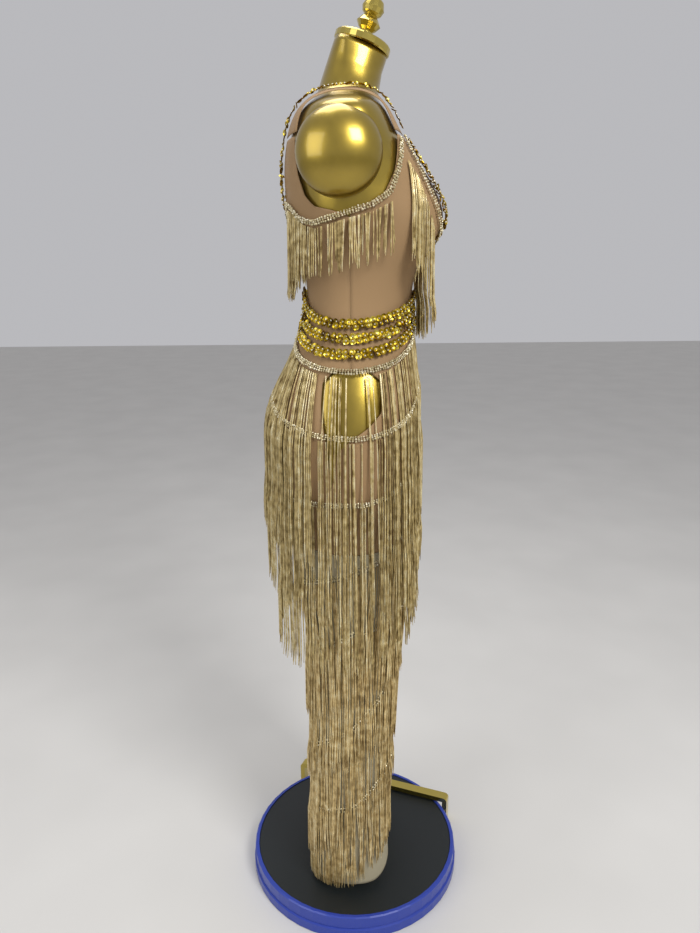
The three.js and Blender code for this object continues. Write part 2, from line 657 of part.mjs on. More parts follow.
// Distance out from the axis of a fringe hung at height top: it drops straight from the
// widest place that it has passed.
function hungRadius(deg, top, z) {
  const floor = Math.max(z, LEG_TOP);
  let widest = radiusAt(deg, floor);
  for (let level = top; level > floor; level -= 12) widest = Math.max(widest, radiusAt(deg, level));
  return widest;
}

// Heights down a fringe from top to foot, each with how many lower tiers it has passed over.
// Long spans get a place halfway.
function ladder(top, foot, rowsUnder, halfway) {
  const stops = [{ z: top, tiers: 0 }];
  rowsUnder.forEach((height, i) => {
    stops.push({ z: height + OVER_ROW, tiers: i + 1 }, { z: height - OVER_ROW, tiers: i + 1 });
  });
  stops.push({ z: foot, tiers: rowsUnder.length });
  stops.forEach((stop, i) => {
    if (i > 0 && i < stops.length - 1) stop.z = Math.max(stop.z, foot + 4 * (stops.length - 1 - i));
  });
  return stops.flatMap((stop, i) => {
    const next = stops[i + 1];
    if (!next || !halfway[i]) return [stop];
    return [stop, { z: mix(stop.z, next.z, 0.5), tiers: mix(stop.tiers, next.tiers, 0.5) }];
  });
}

// Wall of a fringe from its stops at each place along the row, with a function that gives
// the point at a place, height and distance out.
function fringeWall(places, stopsAt, pointAt, ring = false) {
  const columns = places.map((place) => stopsAt(place));
  const grid = (out) => columns[0].map((_, level) => places.map((place, i) => {
    const { z, tiers } = columns[i][level];
    return pointAt(place, z, tiers * TIER_STEP + out, columns[i][0].z);
  }));
  return wall(grid(0), grid(TRIM), ring);
}

const bodyPoint = (deg, z, out, top) =>
  bearing(deg).multiplyScalar(hungRadius(deg, top, z) + TRIM_AT + out).setZ(z);
const legPoint = (u, z, out) => legSkin(u, z, LEG_TRIM_AT + out);

function makeFringes() {
  const legRowRound = (row) => (deg) => legRowHeight(row, (deg > 180 ? 360 - deg : deg) / 180);
  const hipRow = (row) => (deg) => rowHeight(row, deg);
  const under = [
    [hipRow(HIP_ROWS[1]), hipRow(HIP_ROWS[2]), legRowRound(LEG_ROWS[0])],
    [hipRow(HIP_ROWS[2]), legRowRound(LEG_ROWS[0])],
    [legRowRound(LEG_ROWS[0]), legRowRound(LEG_ROWS[1])],
  ];
  HIP_ROWS.forEach((row, i) => {
    const stopsAt = (deg) => {
      const top = rowHeight(row, deg) - UNDER_HEADER;
      return ladder(top, top - row.fringe, under[i].map((height) => height(deg)), [i < 2, false, i === 0]);
    };
    put(`hip_fringe_${i + 1}`, fringeWall(ROUND, stopsAt, bodyPoint, true), FRINGE);
  });

  const overWaist = (row, deg) => ladder(row.top, row.foot, [rowHeight(WAIST_ROWS[0], deg)], [true]);
  for (const [name, table] of [["bust_fringe", BUST_FRINGE], ["side_fringe", SIDE_FRINGE]]) {
    const stopsAt = (deg) => overWaist(table.find((row) => row.deg === deg), deg);
    const point = (deg, z, out, top) => bodyPoint(deg, z, out + 1.5, top);
    putPair(name, fringeWall(table.map((row) => row.deg), stopsAt, point), FRINGE);
  }

  const legUnder = [LEG_ROWS.slice(1, 3), LEG_ROWS.slice(2, 4), LEG_ROWS.slice(3), []];
  const halfway = [[true, false, true], [true], [true], [true]];
  LEG_ROWS.forEach((row, i) => {
    const stopsAt = (u) => {
      const top = legRowHeight(row, u) - UNDER_HEADER;
      const foot = Math.max(top - row.fringe, BASE_TOP + 14);
      return ladder(top, foot, legUnder[i].map((lower) => legRowHeight(lower, u)), halfway[i]);
    };
    putPair(`leg_fringe_${i + 1}`, fringeWall(legSpots, stopsAt, legPoint), FRINGE);
  });
}

makeForm();
makeNeckCap();
makeStand();
makeBodice();
makeStraps();
makeHips();
makeLegs();
makeTrims();
makeNecklineTrims();
makeFringes();

export default part;
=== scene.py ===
"""Looks of a gold fringed jumpsuit on its dress form, built round the fixed CAD frame."""

import math

import bpy
import numpy as np
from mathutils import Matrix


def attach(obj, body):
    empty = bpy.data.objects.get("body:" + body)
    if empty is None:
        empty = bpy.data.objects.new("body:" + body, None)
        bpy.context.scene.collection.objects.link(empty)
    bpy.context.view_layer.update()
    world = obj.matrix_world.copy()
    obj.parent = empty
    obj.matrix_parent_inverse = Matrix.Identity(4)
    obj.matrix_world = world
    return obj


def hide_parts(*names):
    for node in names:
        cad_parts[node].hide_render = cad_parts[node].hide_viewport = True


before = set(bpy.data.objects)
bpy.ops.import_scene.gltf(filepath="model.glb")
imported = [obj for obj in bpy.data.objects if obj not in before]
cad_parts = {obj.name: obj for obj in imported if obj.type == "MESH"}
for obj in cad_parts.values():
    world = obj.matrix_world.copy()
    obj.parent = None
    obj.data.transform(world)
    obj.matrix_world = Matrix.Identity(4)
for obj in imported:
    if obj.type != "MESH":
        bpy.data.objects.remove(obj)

bl_info = {
    "name": "Fringed jumpsuit looks",
    "version": (1, 0, 0),
    "blender": (4, 5, 0),
    "location": "3D View > Sidebar > Jumpsuit",
    "description": "Builds the cloth, fringe, beads and sequins of a fringed jumpsuit and its form",
    "category": "Object",
}

# Sizes in millimetres; objects are written in metres.
MM = 0.001
EASE = 4.3                 # from the form to the inside of the cloth
CLOTH = 1.2                # thickness of the mesh cloth
TRIM_AT = 8.2              # from the form to the underside of a trim
TIER_STEP = 4.0            # each fringe passes this far outside the tier under it
LEG_TRIM_AT = 5.4          # from the inside of the leg's cloth to the underside of a trim
LEG_TOP = 720
LEG_BLEND = 190
LEG_SEAM = 1.5
CROTCH_HALF = 16
STRAP_FOOT = 1350
BASE_TOP = 43.5
SQUARENESS = 2.2
BUST_APART = 82
BUST_SPREAD = 46
UNDER_HEADER = 9
SEAM_GAP = 0.3             # left between a panel and the line of the waist seam
PANEL_SEAM = 0.02          # degrees that a panel stops short of its side edges
HEM_FRONT = 100            # height of the leg's hem at the front
HEM_NEAR = 57              # and at the outside and back
HEM_TURN = 0.38            # part of the leg's turn over which it changes
POLE_HOLE = 12.4           # radius of the gusset's hole
GUSSET_HALF = 13.8
GUSSET_FRONT = 79
GUSSET_BACK = 88
GUSSET_AT = 714.0          # height of the gusset's underside
CUP_RADIUS = {"waist": 5.4, "neck": 5.2, "rope": 5.0}
ROPE_GAP = 6.0
BEAD_RADIUS = 1.9
NECK_BEAD_RADIUS = 1.8
LEG_ROW_SPAN = (0.04, 0.96)    # part of the leg's outer turn that rows and fringe cover
SIDE_GAP = {"middle": 91, "half": 17, "kept": 0.36}    # thinned fringe over the side opening
STRAND_LAP = 3             # a strand starts this far up under its header
ROUND_BODY = 900           # lengths of row that the strands are counted over
ROUND_LEG = 430

# Sections of the form: height, depth to the front, depth to the back, half width, bust cup.
FORM = np.array([
    [700, 82, 90, 146, 0], [730, 86, 98, 152, 0], [790, 96, 119, 167, 0], [850, 102, 133, 174, 0],
    [910, 105, 136, 172, 0], [970, 106, 122, 160, 0], [1030, 102, 92, 139, 0], [1080, 97, 72, 123, 0],
    [1115, 96, 66, 119, 0], [1160, 101, 68, 126, 5], [1205, 111, 79, 138, 26], [1245, 116, 90, 147, 35],
    [1290, 108, 97, 152, 22], [1330, 93, 97, 159, 6], [1365, 76, 90, 167, 0], [1388, 63, 80, 158, 0],
    [1404, 54, 69, 118, 0], [1417, 48, 57, 78, 0], [1430, 47, 49, 56, 0]], float)
# Rings of the neck: height, front, back, half width, lean.
NECK = [(1446, 49, 42, 49, 0.10), (1468, 52, 32, 43, 0.22), (1495, 60, 20, 40, 0.35)]
STUMP_CENTRE = (148, 14, 1324)
STUMP_RADII = (43, 62, 62)
# Sections of the leg's inside: height, centre, half width, front, back.
LEG = np.array([
    [55, 91, 51, 64, 77], [180, 90, 51, 60, 76], [300, 89, 53, 62, 74], [400, 88, 55, 66, 73],
    [500, 88, 57, 72, 73], [600, 88, 60, 80, 74]], float)
# Rows round the body: height at the side, rise to the front, rise to the back.
WAIST_ROWS = [(1083, 45, 50), (1061, 48, 44), (1038, 52, 42)]
HIP_ROWS = [(1013, 58, 42), (917, 70, 45), (814, 90, -6)]
HIP_FRINGE = [300, 300, 290]
# Rows down the leg: height at the side, at the front, at the back, and length of fringe.
LEG_ROWS = [(690, 745, 640, 250), (580, 603, 511, 250), (395, 511, 324, 230), (231, 325, 200, 165)]
NECKLINE_FRONT = np.array([[1190, 0], [1214, 12], [1234, 21], [1255, 28], [1292, 33], [1350, 40]], float)
NECKLINE_BACK = np.array([[1235, 180], [1260, 168], [1290, 157], [1350, 142]], float)
ARMHOLE_FRONT = np.array([[1240, 90], [1248, 88], [1256, 80], [1270, 71], [1300, 65], [1350, 60]], float)
ARMHOLE_BACK = np.array([[1240, 90], [1246, 97], [1254, 110], [1270, 117], [1300, 122], [1350, 124]], float)
OPENING_FRONT = np.array([
    [720, 100], [838, 100], [895, 97], [915, 90], [933, 81], [953, 74], [998, 72], [1020, 82],
    [1040, 90]], float)
OPENING_BACK = np.array([
    [720, 100], [838, 100], [900, 102], [930, 104], [965, 106], [998, 106], [1020, 98], [1040, 90]], float)
BODICE_HEADER = np.array([
    [59, 1344], [63, 1305], [68, 1272], [78, 1255], [90, 1246], [101, 1238], [111, 1233], [122, 1240],
    [135, 1258], [147, 1266], [158, 1252], [168, 1232], [177, 1215]], float)
BUST_FRINGE = np.array([
    [2, 1143, 1058], [13, 1156, 1056], [24, 1176, 1058], [33, 1196, 1072], [42, 1236, 1112],
    [48, 1286, 1150], [55, 1314, 1180]], float)
SIDE_FRINGE = np.array([
    [66, 1257, 1188], [78, 1241, 1172], [90, 1233, 1164], [101, 1225, 1158], [111, 1220, 1155],
    [122, 1227, 1148], [135, 1245, 1136], [147, 1252, 1126], [158, 1238, 1120], [168, 1218, 1118],
    [177, 1201, 1118]], float)


# ------------------------------------------------------------------ formulas

def mix(a, b, t):
    """Value a share t of the way from a to b."""
    return a + (b - a) * t


def ease(t):
    """Smooth step: three t squared minus two t cubed, with t held between 0 and 1."""
    t = np.clip(t, 0, 1)
    return t * t * (3 - 2 * t)


def read(table, column, at):
    """Smooth value of a table's column: a cubic through the rows, whose slope at a row is that
    between the rows on either side."""
    key = table[:, 0]
    value = table[:, column]
    x = np.clip(at, key[0], key[-1])
    i = np.clip(np.searchsorted(key, x, side="left") - 1, 0, len(key) - 2)
    low = np.maximum(np.arange(len(key)) - 1, 0)
    high = np.minimum(np.arange(len(key)) + 1, len(key) - 1)
    slope = (value[high] - value[low]) / (key[high] - key[low])
    span = key[i + 1] - key[i]
    t = (x - key[i]) / span
    t2 = t * t
    t3 = t2 * t
    return (value[i] * (2 * t3 - 3 * t2 + 1) + slope[i] * span * (t3 - 2 * t2 + t)
            + value[i + 1] * (3 * t2 - 2 * t3) + slope[i + 1] * span * (t3 - t2))


def line(table, column, at):
    """Straight-line value of a table's column."""
    return np.interp(at, table[:, 0], table[:, column])


def inside(p):
    """Under 1 inside the form: the sum of |x|/half and (|y| - cup)/depth, each to the power 2.2.
    The cup is the bust's height times a bell curve round each breast, at the front only."""
    x, y, z = p[..., 0], p[..., 1], p[..., 2]
    bell = np.exp(-(((np.abs(x) - BUST_APART) / BUST_SPREAD) ** 2))
    cup = np.where(y < 0, read(FORM, 4, z) * bell, 0)
    depth = np.where(y < 0, read(FORM, 1, z), read(FORM, 2, z))
    return ((np.abs(x) / read(FORM, 3, z)) ** SQUARENESS
            + (np.maximum(0, np.abs(y) - cup) / depth) ** SQUARENESS)


def reach(start, way):
    """Distance along each ray to the form's surface, by halving an interval 26 times."""
    near = np.zeros(start.shape[:-1])
    far = np.full(start.shape[:-1], 260.0)
    for _ in range(26):
        middle = (near + far) / 2
        hit = inside(start + way * middle[..., None]) < 1
        near = np.where(hit, middle, near)
        far = np.where(hit, far, middle)
    return near


def bearing(deg):
    """Level direction at a bearing: 0 is the centre front, 90 the wearer's right, 180 the back."""
    a = np.radians(deg)
    return np.stack([-np.sin(a), -np.cos(a), np.zeros_like(a)], -1)


def unit(v):
    """Vectors scaled to length 1."""
    return v / np.maximum(np.linalg.norm(v, axis=-1, keepdims=True), 1e-9)


def form_normal(p):
    """Outward normal of the form: the slope of inside() along each axis, scaled to length 1."""
    step = np.eye(3) * 0.5
    return unit(np.stack([inside(p + step[k]) - inside(p - step[k]) for k in range(3)], -1))


def radius_at(deg, z):
    """Distance from the axis to the form at a bearing and height."""
    deg, z = np.broadcast_arrays(np.asarray(deg, float), np.asarray(z, float))
    start = np.stack([np.zeros_like(z), np.zeros_like(z), z], -1)
    return reach(start, bearing(deg))


def skin(deg, z, out):
    """Point on the form at a bearing and height, moved out along the normal."""
    deg, z = np.broadcast_arrays(np.asarray(deg, float), np.asarray(z, float))
    p = bearing(deg) * radius_at(deg, z)[..., None]
    p[..., 2] = z
    return p + form_normal(p) * np.asarray(out, float)[..., None]


def shoulder(x, turn, out):
    """Point on the shoulder at a distance to the side, turn 0 at the front and 180 at the back."""
    x, turn = np.broadcast_arrays(np.asarray(x, float), np.asarray(turn, float))
    start = np.stack([-x, np.full_like(x, 8), np.full_like(x, STRAP_FOOT + 2)], -1)
    a = np.radians(turn)
    way = np.stack([np.zeros_like(x), -np.cos(a), np.sin(a)], -1)
    p = start + way * reach(start, way)[..., None]
    return p + form_normal(p) * np.asarray(out, float)[..., None]


def row_height(row, deg):
    """Height of a body row: the side's height plus the rise times the cosine squared."""
    c = np.cos(np.radians(deg))
    return row[0] + np.where(c > 0, row[1], row[2]) * c * c


def leg_row_height(row, u):
    """Height of a leg row, from the front at u 0 over the outside to the back at u 1."""
    c = np.cos(np.pi * u)
    return np.where(c > 0, mix(row[0], row[1], c), mix(row[0], row[2], -c))


def leg_inside(u, z):
    """Point on the right leg's inside: the body's section cut at the crotch, eased down into an
    ellipse. u runs 0 to 1 round the outside and 1 to 2 along the inner wall."""
    u, z = np.broadcast_arrays(np.asarray(u, float), np.asarray(z, float))
    level = np.maximum(z, LEG_TOP)
    corner = np.degrees(np.arcsin(CROTCH_HALF / read(FORM, 1, level)))
    t = np.where(u <= 1, u, 2 - u)
    ring = skin(mix(corner, 180 - corner, np.clip(t, 0, 1)), level, EASE)
    first = skin(corner, level, EASE)
    last = skin(180 - corner, level, EASE)
    straight = mix(last, first, np.clip(u - 1, 0, 1)[..., None])
    straight[..., 0] = -CROTCH_HALF
    split = np.where((u > 1)[..., None], straight, ring)
    a = np.radians(np.where(u <= 1, mix(-30, 210, u), mix(210, 330, u - 1)))
    depth = np.where(np.cos(a) > 0, read(LEG, 3, z), read(LEG, 4, z))
    round_x = -read(LEG, 1, z) - read(LEG, 2, z) * np.sin(a)
    oval = np.stack([round_x, -depth * np.cos(a), np.zeros_like(a)], -1)
    p = mix(split, oval, ease((LEG_TOP - z) / LEG_BLEND)[..., None])
    p[..., 2] = z
    return p


def leg_skin(u, z, out):
    """Point of the leg moved out along the cloth's normal."""
    u, z = np.broadcast_arrays(np.asarray(u, float), np.asarray(z, float))
    low = np.where(u <= 1, np.maximum(u - 0.02, 0), u - 0.02)
    high = np.where(u <= 1, np.minimum(u + 0.02, 1), u + 0.02)
    round_way = leg_inside(high, z) - leg_inside(low, z)
    up = leg_inside(u, z + 4) - leg_inside(u, z - 4)
    normal = unit(np.cross(round_way, up))
    return leg_inside(u, z) - normal * np.asarray(out, float)[..., None]


# ------------------------------------------------------------------ meshes

def make_object(name, points, quads, mirror=False, tint=None):
    """Smooth mesh object from points in millimetres and quads or triangles, in metres."""
    points = np.asarray(points, float).reshape(-1, 3) * MM
    quads = np.asarray(quads)
    if mirror:
        points = points * np.array([-1, 1, 1])
        quads = quads[:, ::-1]
    mesh = bpy.data.meshes.new(name)
    sides = quads.shape[1]
    mesh.vertices.add(len(points))
    mesh.vertices.foreach_set("co", points.ravel())
    mesh.loops.add(quads.size)
    mesh.loops.foreach_set("vertex_index", quads.ravel().astype(np.int32))
    mesh.polygons.add(len(quads))
    mesh.polygons.foreach_set("loop_start", np.arange(0, quads.size, sides, dtype=np.int32))
    mesh.polygons.foreach_set("use_smooth", np.ones(len(quads), dtype=bool))
    if tint is not None:
        layer = mesh.attributes.new("tint", "FLOAT", "POINT")
        layer.data.foreach_set("value", np.asarray(tint, float).ravel())
    mesh.update(calc_edges=True)
    mesh.validate()
    obj = bpy.data.objects.new(name, mesh)
    bpy.context.scene.collection.objects.link(obj)
    return obj


def grid_quads(rows, cols, ring=False):
    """Quads of a grid of rows by columns, whose columns close round where it is a ring."""
    r, c = np.meshgrid(np.arange(rows - 1), np.arange(cols if ring else cols - 1), indexing="ij")
    a = r * cols + c
    b = r * cols + (c + 1) % cols
    return np.stack([a, b, b + cols, a + cols], -1).reshape(-1, 4)


def shell(inner, outer, ring=False):
    """Closed wall between two grids: both faces and the strips that join their edges."""
    rows, cols = inner.shape[:2]
    n = rows * cols
    face = grid_quads(rows, cols, ring)
    c = np.arange(cols if ring else cols - 1)
    d = (c + 1) % cols
    last = (rows - 1) * cols
    strips = [np.stack([c, c + n, d + n, d], -1),
              np.stack([last + c, last + d, last + d + n, last + c + n], -1)]
    if not ring:
        r = np.arange(rows - 1) * cols
        e = r + cols - 1
        strips += [np.stack([r, r + cols, r + cols + n, r + n], -1),
                   np.stack([e, e + n, e + cols + n, e + cols], -1)]
    quads = np.concatenate([face, face[:, ::-1] + n] + strips)
    return np.concatenate([outer.reshape(-1, 3), inner.reshape(-1, 3)]), quads


def tubes(paths, width):
    """Three-sided tubes along paths of shape (strands, stops, 3), tapering at the foot and open
    at both ends."""
    n, m = paths.shape[:2]
    ahead = unit(np.gradient(paths, axis=1))
    side = unit(np.cross(ahead, np.array([0.31, 0.95, 0.05])))
    other = np.cross(ahead, side)
    a = np.radians([0, 120, 240])
    taper = np.ones(m)
    taper[-1] = 0.45
    size = width[:, None] * taper
    spread = (side[:, :, None] * np.cos(a)[:, None] + other[:, :, None] * np.sin(a)[:, None])
    points = paths[:, :, None] + spread * size[:, :, None, None]
    k = grid_quads(m, 3, True)
    quads = (np.arange(n)[:, None, None] * (m * 3) + k).reshape(-1, 4)
    return points.reshape(-1, 3), quads


def ball(rows=4, cols=6):
    """Low-poly ball of radius 1 as a grid of quads, with a small hole at each pole."""
    v = np.linspace(0.12, np.pi - 0.12, rows)[:, None]
    h = np.linspace(0, 2 * np.pi, cols, endpoint=False)[None]
    points = np.stack([np.sin(v) * np.cos(h), np.sin(v) * np.sin(h), np.cos(v) + 0 * h], -1)
    return points.reshape(-1, 3), grid_quads(rows, cols, True)


def cup(cols=10):
    """Cupped disc of radius 1: rings at radii 0.12, 0.6 and 1, whose edge stands up 0.34, round a
    small hole in the middle."""
    r = np.array([0.12, 0.6, 1.0])[:, None]
    lift = np.array([0.05, 0.02, 0.34])[:, None]
    h = np.linspace(0, 2 * np.pi, cols, endpoint=False)[None]
    points = np.stack([r * np.cos(h), r * np.sin(h), lift + 0 * h], -1)
    return points.reshape(-1, 3), grid_quads(3, cols, True)


def strew(shape, centres, normals, sizes, rng, tilt=0.0):
    """Copies of a small shape at centres, each standing on its normal with a seeded tilt."""
    points, quads = shape
    n = len(centres)
    up = unit(normals + rng.normal(0, 1, normals.shape) * tilt)
    side = unit(np.cross(up, unit(rng.normal(0, 1, normals.shape))))
    other = np.cross(up, side)
    turned = (points[None, :, 0, None] * side[:, None] + points[None, :, 1, None] * other[:, None]
              + points[None, :, 2, None] * up[:, None])
    placed = centres[:, None] + turned * sizes[:, None, None]
    faces = (np.arange(n)[:, None, None] * len(points) + quads).reshape(-1, 4)
    tint = np.repeat(rng.random(n), len(points))
    return placed.reshape(-1, 3), faces, tint


# ------------------------------------------------------------------ materials

def glint_group():
    """Shared node group: a colour between a dark, a middle and a light by each strand's tint and
    fine noise, so that threads differ and catch the light in places."""
    tree = bpy.data.node_groups.new("thread_glint", "ShaderNodeTree")
    face = tree.interface
    face.new_socket("Dark", in_out="INPUT", socket_type="NodeSocketColor")
    face.new_socket("Middle", in_out="INPUT", socket_type="NodeSocketColor")
    face.new_socket("Light", in_out="INPUT", socket_type="NodeSocketColor")
    face.new_socket("Scale", in_out="INPUT", socket_type="NodeSocketFloat")
    face.new_socket("Color", in_out="OUTPUT", socket_type="NodeSocketColor")
    face.new_socket("Roughness", in_out="OUTPUT", socket_type="NodeSocketFloat")
    nodes, links = tree.nodes, tree.links
    start = nodes.new("NodeGroupInput")
    end = nodes.new("NodeGroupOutput")
    place = nodes.new("ShaderNodeTexCoord")
    noise = nodes.new("ShaderNodeTexNoise")
    tint = nodes.new("ShaderNodeAttribute")
    tint.attribute_name = "tint"
    links.new(place.outputs["Object"], noise.inputs["Vector"])
    links.new(start.outputs["Scale"], noise.inputs["Scale"])
    noise.inputs["Detail"].default_value = 2.0
    total = nodes.new("ShaderNodeMath")
    total.operation = "MULTIPLY_ADD"
    total.inputs[1].default_value = 0.55
    links.new(tint.outputs["Fac"], total.inputs[0])
    shift = nodes.new("ShaderNodeMath")
    shift.operation = "MULTIPLY_ADD"
    shift.inputs[1].default_value = 1.5
    shift.inputs[2].default_value = -0.55
    links.new(noise.outputs["Fac"], shift.inputs[0])
    links.new(shift.outputs[0], total.inputs[2])
    low = nodes.new("ShaderNodeMapRange")
    low.inputs["From Max"].default_value = 0.5
    high = nodes.new("ShaderNodeMapRange")
    high.inputs["From Min"].default_value = 0.5
    first = nodes.new("ShaderNodeMix")
    first.data_type = "RGBA"
    second = nodes.new("ShaderNodeMix")
    second.data_type = "RGBA"
    links.new(total.outputs[0], low.inputs["Value"])
    links.new(total.outputs[0], high.inputs["Value"])
    links.new(low.outputs[0], first.inputs["Factor"])
    links.new(start.outputs["Dark"], first.inputs["A"])
    links.new(start.outputs["Middle"], first.inputs["B"])
    links.new(high.outputs[0], second.inputs["Factor"])
    links.new(first.outputs["Result"], second.inputs["A"])
    links.new(start.outputs["Light"], second.inputs["B"])
    rough = nodes.new("ShaderNodeMapRange")
    rough.inputs["To Min"].default_value = 0.5
    rough.inputs["To Max"].default_value = 0.2
    links.new(total.outputs[0], rough.inputs["Value"])
    links.new(second.outputs["Result"], end.inputs["Color"])
    links.new(rough.outputs[0], end.inputs["Roughness"])
    return tree


def linear(rgb):
    """Linear colour of an sRGB colour given in 0 to 255."""
    c = np.array(rgb, float) / 255
    c = np.where(c <= 0.04045, c / 12.92, ((c + 0.055) / 1.055) ** 2.4)
    return (float(c[0]), float(c[1]), float(c[2]), 1.0)


def plain(name, rgb, roughness=0.4, metallic=0.0, coat=0.0, alpha=1.0, bump=0.0, bump_scale=400.0):
    """Principled material of one colour, with faint noise in its shade, roughness and height."""
    mat = bpy.data.materials.new(name)
    mat.use_nodes = True
    nodes, links = mat.node_tree.nodes, mat.node_tree.links
    shader = nodes["Principled BSDF"]
    shader.inputs["Metallic"].default_value = metallic
    shader.inputs["Coat Weight"].default_value = coat
    shader.inputs["Coat Roughness"].default_value = 0.08
    shader.inputs["Alpha"].default_value = alpha
    place = nodes.new("ShaderNodeTexCoord")
    noise = nodes.new("ShaderNodeTexNoise")
    noise.inputs["Scale"].default_value = bump_scale
    links.new(place.outputs["Object"], noise.inputs["Vector"])
    hue = nodes.new("ShaderNodeMix")
    hue.data_type = "RGBA"
    colour = linear(rgb)
    hue.inputs["A"].default_value = tuple(0.86 * c for c in colour[:3]) + (1.0,)
    hue.inputs["B"].default_value = colour
    links.new(noise.outputs["Fac"], hue.inputs["Factor"])
    links.new(hue.outputs["Result"], shader.inputs["Base Color"])
    rough = nodes.new("ShaderNodeMapRange")
    rough.inputs["To Min"].default_value = max(roughness - 0.05, 0.02)
    rough.inputs["To Max"].default_value = roughness + 0.05
    links.new(noise.outputs["Fac"], rough.inputs["Value"])
    links.new(rough.outputs[0], shader.inputs["Roughness"])
    if bump:
        height = nodes.new("ShaderNodeBump")
        height.inputs["Strength"].default_value = bump
        height.inputs["Distance"].default_value = 0.0004
        links.new(noise.outputs["Fac"], height.inputs["Height"])
        links.new(height.outputs["Normal"], shader.inputs["Normal"])
    return mat


def glinting(name, dark, middle, light, scale, metallic):
    """Material of threads, beads or sequins, coloured by the shared glint group."""
    mat = bpy.data.materials.new(name)
    mat.use_nodes = True
    nodes, links = mat.node_tree.nodes, mat.node_tree.links
    shader = nodes["Principled BSDF"]
    shader.inputs["Metallic"].default_value = metallic
    group = nodes.new("ShaderNodeGroup")
    group.node_tree = bpy.data.node_groups.get("thread_glint") or glint_group()
    group.inputs["Dark"].default_value = linear(dark)
    group.inputs["Middle"].default_value = linear(middle)
    group.inputs["Light"].default_value = linear(light)
    group.inputs["Scale"].default_value = scale
    links.new(group.outputs["Color"], shader.inputs["Base Color"])
    links.new(group.outputs["Roughness"], shader.inputs["Roughness"])
    return mat


MATERIALS = {
    "gold_form": lambda: plain("gold_form", (168, 144, 58), 0.3, 0.9, 0.5, bump_scale=60),
    "gold_metal": lambda: plain("gold_metal", (212, 190, 96), 0.14, 1.0, 0.3, bump_scale=80),
    "base_black": lambda: plain("base_black", (15, 22, 24), 0.5, bump=0.5, bump_scale=900),
    "base_blue": lambda: plain("base_blue", (35, 60, 160), 0.35, coat=0.2, bump_scale=300),
    "mesh_cloth": lambda: plain("mesh_cloth", (168, 136, 96), 0.8, alpha=0.8, bump=0.6, bump_scale=1500),
    "hem_cloth": lambda: plain("hem_cloth", (200, 190, 160), 0.8, alpha=0.6, bump=0.6, bump_scale=1500),
    "sequins": lambda: glinting("sequins", (96, 72, 8), (190, 160, 42), (240, 225, 110), 260, 1.0),
    "stones": lambda: glinting("stones", (150, 145, 120), (220, 215, 195), (250, 248, 235), 500, 0.3),
    "beads": lambda: glinting("beads", (140, 124, 78), (214, 202, 164), (248, 242, 222), 500, 0.45),
    "fringe": lambda: glinting("fringe", (112, 90, 44), (204, 182, 124), (244, 232, 190), 90, 0.4),
    "fringe_warm": lambda: glinting("fringe_warm", (136, 110, 62), (206, 180, 122), (240, 224, 178), 90, 0.3),
}


def material(name):
    """Material of a name, made when it is first asked for, under a name the frame doesn't use."""
    own = f"look_{name}"
    mat = bpy.data.materials.get(own)
    if mat is None:
        mat = MATERIALS[name]()
        mat.name = own
    return mat


def dress(obj, mat, slot, *nodes):
    """Gives a new piece its material and the body it rides, and hides the nodes it stands for; the slot is
    not used.
    """
    obj.data.materials.append(material(mat))
    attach(obj, "root")
    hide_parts(*nodes)
    return obj


# ------------------------------------------------------------------ settings

class JumpsuitSettings(bpy.types.PropertyGroup):
    """Sizes and counts of the jumpsuit's looks."""

    strand_gap: bpy.props.FloatProperty(
        name="Strand gap", description="Distance between the strands of a fringe row",
        default=0.0021, min=0.001, unit="LENGTH")
    strand_radius: bpy.props.FloatProperty(
        name="Strand radius", description="Half the thickness of one strand",
        default=0.00105, min=0.0003, unit="LENGTH")
    strand_stops: bpy.props.IntProperty(
        name="Strand stops", description="Points along each strand", default=11, min=4)
    bead_gap: bpy.props.FloatProperty(
        name="Bead gap", description="Distance between the beads of a header",
        default=0.0042, min=0.002, unit="LENGTH")
    sequin_gap: bpy.props.FloatProperty(
        name="Sequin gap", description="Distance between cup sequins in a row",
        default=0.0095, min=0.004, unit="LENGTH")
    seed: bpy.props.IntProperty(
        name="Seed", description="Start of the random numbers", default=7, min=0)


# ------------------------------------------------------------------ the form and its stand

